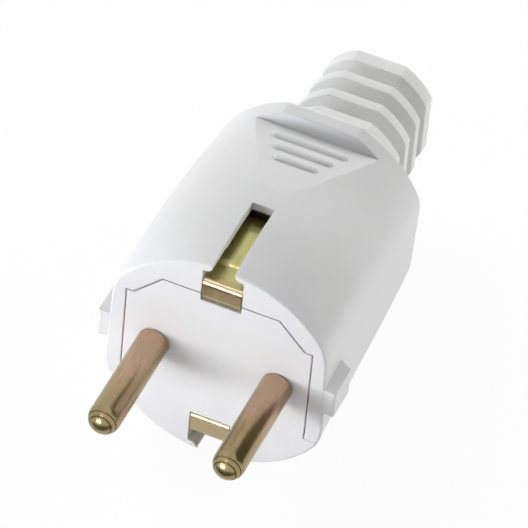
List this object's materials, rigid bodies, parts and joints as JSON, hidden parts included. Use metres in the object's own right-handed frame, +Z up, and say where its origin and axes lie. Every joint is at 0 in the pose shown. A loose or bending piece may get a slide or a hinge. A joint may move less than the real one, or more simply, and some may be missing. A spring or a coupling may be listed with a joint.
{
  "type": "type f plug",
  "caption": "Straight rewirable mains plug: white moulded housing with round pins, earth contacts at top and bottom, a grip scoop and a ribbed cord sleeve.",
  "frame": {"origin": "middle of the front face, halfway between the pins", "axes": "+Y back to the cord, +X right and +Z up as seen from the pins"},
  "size_m": [0.0364, 0.0786, 0.0379],
  "materials": {
    "white_moulding": "satin white moulding",
    "white_sleeve": "soft matte white",
    "pin_brass": "turned and plated",
    "strap_brass": "rolled strip",
    "screw_steel": "zinc plated"
  },
  "bodies": {
    "root": {"upper_cover": "white_moulding", "lower_body": "white_moulding", "cord_sleeve": "white_sleeve", "pin_left": "pin_brass", "pin_right": "pin_brass", "earth_strap": "strap_brass", "earth_washer": "screw_steel", "earth_screw": "screw_steel", "terminal_screw_left": "screw_steel", "terminal_screw_right": "screw_steel", "housing_screw": "screw_steel", "housing_nut": "screw_steel", "clamp_screw_left": "screw_steel", "clamp_screw_right": "screw_steel", "cord_clamp": "white_moulding"}
  },
  "joints": []
}
